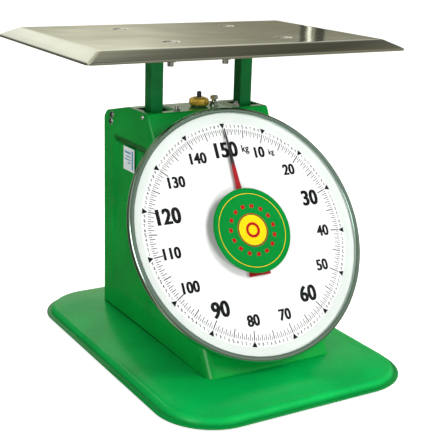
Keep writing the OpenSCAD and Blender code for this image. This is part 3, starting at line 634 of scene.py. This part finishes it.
marks = []
for half_kg in range(2 * FULL_KG):
    angle = half_kg * DEGREES_PER_KG / 2
    if half_kg % 20 == 0:
        width, inner_r = TICK_10
        marks.append(radial(angle, POINTER_MARK))
    elif half_kg % 10 == 0:
        width, inner_r = TICK_5
    elif half_kg % 2 == 0:
        width, inner_r = TICK_1
    else:
        width, inner_r = TICK_HALF
    marks.append(bar(angle, width, inner_r, TICK_OUT))
for kg in range(FULL_KG):
    if kg % 10:
        a = math.radians(kg * DEGREES_PER_KG)
        shape = glyph(str(kg % 10), 4.6 if kg % 10 == 5 else 3.8)
        marks.append(placed(shape, SMALL_R * math.sin(a), SMALL_R * math.cos(a)))
for number in range(10, FULL_KG + 1, 10):
    a = math.radians(number * DEGREES_PER_KG)
    big = number % 30 == 0
    height = 19.6 if big else 14.0
    r = 105.0 if big else 107.0
    shift = -2.5 if number == FULL_KG else 0.0
    shape = glyph(str(number), height)
    marks.append(placed(shape, r * math.sin(a) + shift, r * math.cos(a), 0.0375 * height))
marks.append(placed(glyph("kg", 9.5), 24.5, 103, 0.12))
marks.append(placed(glyph("kg", 7.5), 60.5, 95.5, 0.1))
verts, faces = join(marks)
piece("dial_print", verts, faces, PRINT_BLACK, "housing", "dark_steel", smooth=False)


# ---------- platform ----------

DIMPLE_R = 13
DIMPLE_STEPS = 48

rim = [(1.0, 380.2), (0.3, 380.0), (0, 380.5), (0, 381.6), (0.6, 382.3), (2.2, 383.1)]
rim += [(19.2 * t, 382.3 + 9.4 * t) for t in (0.3, 0.55, 0.8)]  # the slope
rim += [(18.2, 391.25), (19.6, 391.85), (21.2, 392.25), (23.5, PLATFORM_TOP), (26.5, PLATFORM_TOP)]
verts, faces = rect_rings(rim, PLATFORM_W, PLATFORM_D, 7, 5, cy=POST_Y, n=8)

# the flat middle: filled between its outline and the four dimples
flat_in = 2 * rim[-1][0]
edge_loops = [rounded_rect(PLATFORM_W - flat_in, PLATFORM_D - flat_in, 5, 8, POST_Y)]
screw_spots = [(x, POST_Y + y) for x in (-78, 78) for y in (-68, 68)]
for cx, cy in screw_spots:
    angles = [2 * math.pi * j / DIMPLE_STEPS for j in range(DIMPLE_STEPS)]
    edge_loops.append([(cx + DIMPLE_R * math.cos(a), cy + DIMPLE_R * math.sin(a)) for a in angles])
bm = bmesh.new()
for loop in edge_loops:
    ring = [bm.verts.new((x, y, PLATFORM_TOP)) for x, y in loop]
    for a, b in zip(ring, ring[1:] + ring[:1]):
        bm.edges.new((a, b))
bmesh.ops.triangle_fill(bm, use_beauty=True, edges=bm.edges[:])
bm.verts.index_update()
flat_top = ([tuple(v.co) for v in bm.verts], [tuple(v.index for v in f.verts) for f in bm.faces])
bm.free()
dimple = [(DIMPLE_R, 0), (11.6, 0), (10.4, -0.06), (9.6, -0.35), (8.6, -1.3), (7.7, -2.3), (6.9, -2.75),
          (3.2, -2.9)]
dimples = [lathe(dimple, upright(cx, cy, PLATFORM_TOP), DIMPLE_STEPS, closed=False) for cx, cy in screw_spots]
verts, faces = join([(verts, faces), flat_top] + dimples)
platform = piece("pressed_platform", verts, faces, MATS["stainless"], "carriage", "stainless", ("platform",),
                 flat_angle=40)
add_modifier(platform, "SOLIDIFY", thickness=1.3 * MM, offset=-1)

heads = join([screw_head(5.9, 1.9, 1.6, upright(cx, cy, PLATFORM_TOP - 2.7)) for cx, cy in screw_spots])
piece("platform_screw_heads", *heads, MATS["steel"], "carriage", "steel")
cover_screws = [(side, y, z) for side in (-1, 1) for y, z in ((122.5, 283.5), (125, 274.5))]
cover_heads = join([screw_head(4.4, 2.3, 1.4, sideways(*spot)) for spot in cover_screws])
piece("rear_cover_screw_heads", *cover_heads, MATS["steel"], "housing", "dark_steel")


# ---------- zero nut ----------

nut_profile = [(3.1, 0), (10.6, 0), (11.4, 0.4), (11.9, 1.2), (12.1, 2), (12.1, 7), (11.9, 7.8), (11.4, 8.6),
               (10.6, 9), (8.2, 9), (7.8, 9.4), (7.2, 10.4), (6.6, 10.5), (3.1, 10.5)]
KNURL_TEETH = 36
KNURL_DEPTH = 0.45


def knurl(angle, height):
    """The knurl's waves on the nut's side, fading out towards its rounded edges."""
    fade = smoothstep(0.7, 1.9, height) * smoothstep(8.7, 7.3, height)
    return KNURL_DEPTH * math.cos(KNURL_TEETH * angle) * fade


verts, faces = lathe(nut_profile, upright(0, POST_Y, NUT_BOTTOM), 8 * KNURL_TEETH, wave=knurl)
piece("knurled_zero_nut", verts, faces, MATS["brass"], "zero_nut_body", "brass", ("zero_nut",), flat_angle=45)


# ---------- label ----------

bars_x = -HALF_W + 1.45
blocks = [(64.5, 68.0, 222, 246), (71, 88, 241, 243.5), (71, 84, 236.5, 238), (71, 88, 232.5, 234),
          (71, 80, 228.5, 230)]
label_parts = []
for y0, y1, z0, z1 in blocks:
    corners = [(bars_x, y0, z0), (bars_x, y1, z0), (bars_x, y1, z1), (bars_x, y0, z1)]
    label_parts.append((corners, [(0, 1, 2, 3)]))
piece("label_bars", *join(label_parts), PRINT_BLUE, "housing", "label", smooth=False)


# ---------- materials and softened edges on the CAD nodes ----------

slot_of = {part["node"]: part["material_slot"] for part in frame["record"]["subparts"]}
for name, obj in frame["nodes"].items():
    if obj.material_slots:
        for material_slot in obj.material_slots:
            material_slot.material = MATS[slot_of[name]]
    else:
        obj.data.materials.append(MATS[slot_of[name]])
for name in ("left_post", "right_post", "crossbar", "spider_frame", "rear_cover", "top_bolts", "lock_bolt",
             "crossbar_bolts", "platform_screws", "nut_washer"):
    add_modifier(frame["nodes"][name], "BEVEL", width=0.5 * MM, segments=3, limit_method="ANGLE",
                 angle_limit=math.radians(40), harden_normals=True)


# ---------- floor, lamps and cards ----------

def stage_plane(name, size, matrix, colour, glow=0.0):
    """A square of the stage, not of the object: the floor or a card."""
    mesh = bpy.data.meshes.new(name)
    h = size / 2
    mesh.from_pydata([(-h, -h, 0), (h, -h, 0), (h, h, 0), (-h, h, 0)], [], [(0, 1, 2, 3)])
    mat = bpy.data.materials.new(name)
    mat.use_nodes = True
    shader = mat.node_tree.nodes["Principled BSDF"]
    shader.inputs["Base Color"].default_value = (*colour, 1)
    shader.inputs["Roughness"].default_value = 0.6
    shader.inputs["Emission Color"].default_value = (*colour, 1)
    shader.inputs["Emission Strength"].default_value = glow
    mesh.materials.append(mat)
    obj = bpy.data.objects.new(name, mesh)
    bpy.context.scene.collection.objects.link(obj)
    obj.matrix_world = matrix
    return obj


floor = stage_plane("floor", 16.0, Matrix.Identity(4), (0.85, 0.85, 0.85))
floor.visible_glossy = False
floor_tree = floor.data.materials[0].node_tree
floor_rays = floor_tree.nodes.new("ShaderNodeLightPath")
floor_glow = remap(floor_tree, floor_rays.outputs["Is Camera Ray"], 0.0, 1.0, 0.0, 0.85)
floor_tree.links.new(floor_glow, floor_tree.nodes["Principled BSDF"].inputs["Emission Strength"])


def area_light(name, place, aim, size, power):
    """A round lamp at a place, facing a point."""
    light = bpy.data.lights.new(name, "AREA")
    light.shape = "DISK"
    light.size = size
    light.energy = power
    obj = bpy.data.objects.new(name, light)
    obj.location = place
    obj.rotation_euler = (Vector(aim) - Vector(place)).to_track_quat("-Z", "Y").to_euler()
    bpy.context.scene.collection.objects.link(obj)
    return obj


# only the fill shows in shiny surfaces
area_light("fill", (-1.7, -0.9, 0.9), (0, 0, 0.15), 1.2, 14)
for lamp in (area_light("key", (1.0, -1.6, 1.5), (0, 0, 0.15), 1.1, 38),
             area_light("back", (0.2, 1.9, 1.5), (0, 0.1, 0.2), 0.9, 18),
             area_light("low", (0.35, -1.9, 0.3), (0, -0.1, 0.05), 0.6, 13)):
    lamp.visible_glossy = False

# cards that only show as streaks in the metal
DARK = (0.05, 0.05, 0.04)
PALE = (0.8, 0.8, 0.7)
CARD_H = 0.7
CARD_AWAY = 2.2
cards = [("card_dark_a", 35.75, 0.018, DARK, 0.3), ("card_dark_b", 37.3, 0.032, DARK, 0.3),
         ("card_bright", 36.35, 0.012, PALE, 0.5)]
for name, bearing, width, colour, glow in cards:
    a = math.radians(bearing)
    away = Vector((math.sin(a), math.cos(a), 0))
    side = Vector((away.y, -away.x, 0))
    card_turn = Matrix((side * width, Vector((0, 0, CARD_H)), -away)).transposed().to_4x4()
    card_place = Matrix.Translation(Vector((0.15, 0.06, 0.62)) + away * CARD_AWAY)
    card = stage_plane(name, 1.0, card_place @ card_turn, colour, glow)
    card.data.materials[0].node_tree.nodes["Principled BSDF"].inputs["Specular IOR Level"].default_value = 0.0
    card.visible_camera = False
    card.visible_shadow = False
    card.visible_diffuse = False


# ---------- the studio around the scale ----------

def fill_ramp(node, colours):
    """Sets a colour ramp's stops from (place, colour) pairs."""
    stops = node.color_ramp.elements
    while len(stops) < len(colours):
        stops.new(0.5)
    for stop, (place, colour) in zip(stops, colours):
        stop.position = place
        stop.color = (*colour, 1)


world = bpy.data.worlds.new("studio")
bpy.context.scene.world = world
world.use_nodes = True
wt = world.node_tree
coord = wt.nodes.new("ShaderNodeTexCoord")
split = wt.nodes.new("ShaderNodeSeparateXYZ")
ramp = wt.nodes.new("ShaderNodeValToRGB")
wt.links.new(coord.outputs["Generated"], split.inputs["Vector"])

# colours by height, a little wavy
wave = wt.nodes.new("ShaderNodeTexNoise")
wave.inputs["Scale"].default_value = 5.0
shifted = wt.nodes.new("ShaderNodeMath")
wt.links.new(coord.outputs["Generated"], wave.inputs["Vector"])
wt.links.new(split.outputs["Z"], shifted.inputs[0])
wt.links.new(remap(wt, wave.outputs["Fac"], 0.0, 1.0, -0.07, 0.07), shifted.inputs[1])
wt.links.new(shifted.outputs["Value"], ramp.inputs["Fac"])
WORLD_RAMP = [(0.0, (0.36, 0.34, 0.26)), (0.08, (0.17, 0.165, 0.115)), (0.12, (0.32, 0.31, 0.24)),
              (0.15, (0.55, 0.54, 0.44)), (0.3, (0.6, 0.6, 0.55)), (0.58, (0.6, 0.6, 0.55)),
              (0.7, (0.36, 0.34, 0.26)), (1.0, (0.6, 0.6, 0.58))]
fill_ramp(ramp, WORLD_RAMP)
studio = wt.nodes["Background"]
wt.links.new(ramp.outputs["Color"], studio.inputs["Color"])

# the studio's brightness by bearing: bright behind on the left, dark behind on the right
bearing_of = wt.nodes.new("ShaderNodeVectorMath")
bearing_of.operation = "DOT_PRODUCT"
bearing_of.inputs[1].default_value = (1, -1, 0)
wt.links.new(coord.outputs["Generated"], bearing_of.inputs[0])
glow_ramp = wt.nodes.new("ShaderNodeValToRGB")
LEVELS = [(0.0, 0.12), (0.04, 0.5), (0.09, 0.85), (0.17, 0.75), (0.23, 0.8), (0.28, 0.62),
          (0.33, 0.52), (0.37, 0.42), (0.42, 0.2), (0.5, 0.1), (0.6, 0.32), (1.0, 0.32)]
fill_ramp(glow_ramp, [(place, (level, level, level)) for place, level in LEVELS])
wt.links.new(remap(wt, bearing_of.outputs["Value"], -1.0, 1.4, 0.0, 1.0), glow_ramp.inputs["Fac"])
wt.links.new(remap(wt, glow_ramp.outputs["Color"], 0.0, 1.0, 0.0, 2.2), studio.inputs["Strength"])

# the camera itself sees plain white behind the scale
backdrop = wt.nodes.new("ShaderNodeBackground")
backdrop.inputs["Color"].default_value = (1, 1, 1, 1)
rays = wt.nodes.new("ShaderNodeLightPath")
choose = wt.nodes.new("ShaderNodeMixShader")
wt.links.new(rays.outputs["Is Camera Ray"], choose.inputs["Fac"])
wt.links.new(studio.outputs["Background"], choose.inputs[1])
wt.links.new(backdrop.outputs["Background"], choose.inputs[2])
wt.links.new(choose.outputs["Shader"], wt.nodes["World Output"].inputs["Surface"])
bpy.context.scene.view_settings.view_transform = "Standard"


# ---------- camera ----------

# its place in metres, its turn, its tilt down, its roll and its lens in millimetres
CAMERA_AT = (-0.6315, -1.0519, 0.5292)
YAW = math.radians(-31.17)
PITCH = math.radians(16.51)
ROLL = math.radians(1.82)
FOCAL = 83.29
forward = Vector((-math.sin(YAW) * math.cos(PITCH), math.cos(YAW) * math.cos(PITCH), -math.sin(PITCH)))
right = Vector((math.cos(YAW), math.sin(YAW), 0))
up = right.cross(forward)
image_right = right * math.cos(ROLL) + up * math.sin(ROLL)
image_up = up * math.cos(ROLL) - right * math.sin(ROLL)
camera = bpy.data.objects.new("camera", bpy.data.cameras.new("camera"))
camera.data.sensor_width = 36
camera.data.lens = FOCAL
turn = Matrix((image_right, image_up, -forward)).transposed().to_4x4()
camera.matrix_world = Matrix.Translation(CAMERA_AT) @ turn
bpy.context.scene.collection.objects.link(camera)
bpy.context.scene.camera = camera
